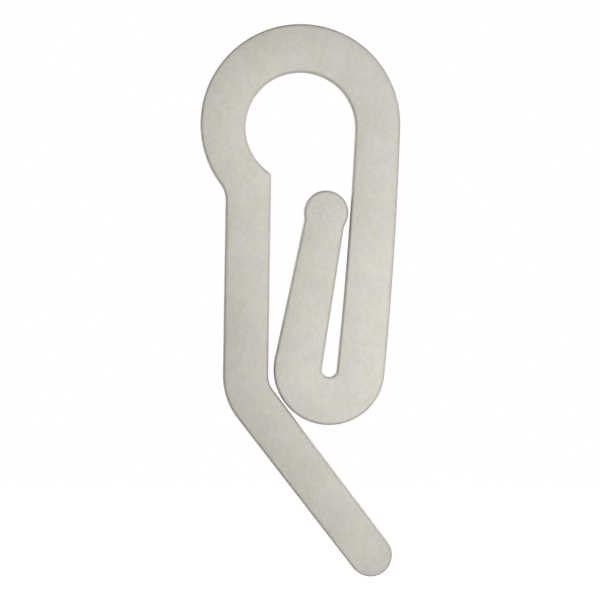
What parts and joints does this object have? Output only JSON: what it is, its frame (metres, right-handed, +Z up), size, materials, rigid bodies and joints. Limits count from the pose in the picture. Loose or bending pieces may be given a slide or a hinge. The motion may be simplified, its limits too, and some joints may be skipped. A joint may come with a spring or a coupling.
{
  "type": "curtain hook",
  "caption": "Flat moulded plastic curtain hook with a round eye, a slanting tail that leads into it and a sprung clip whose tongue ends in a round knob.",
  "frame": {"origin": "centre of the eye, half way through the thickness", "axes": "+Z up along the hook as it hangs, +X to the right seen from the front, +Y through the eye from front to back"},
  "size_m": [0.011, 0.002, 0.0304],
  "materials": {
    "natural_plastic": "satin, slightly milky, undyed plastic"
  },
  "bodies": {
    "root": {"hook": "natural_plastic"}
  },
  "joints": []
}
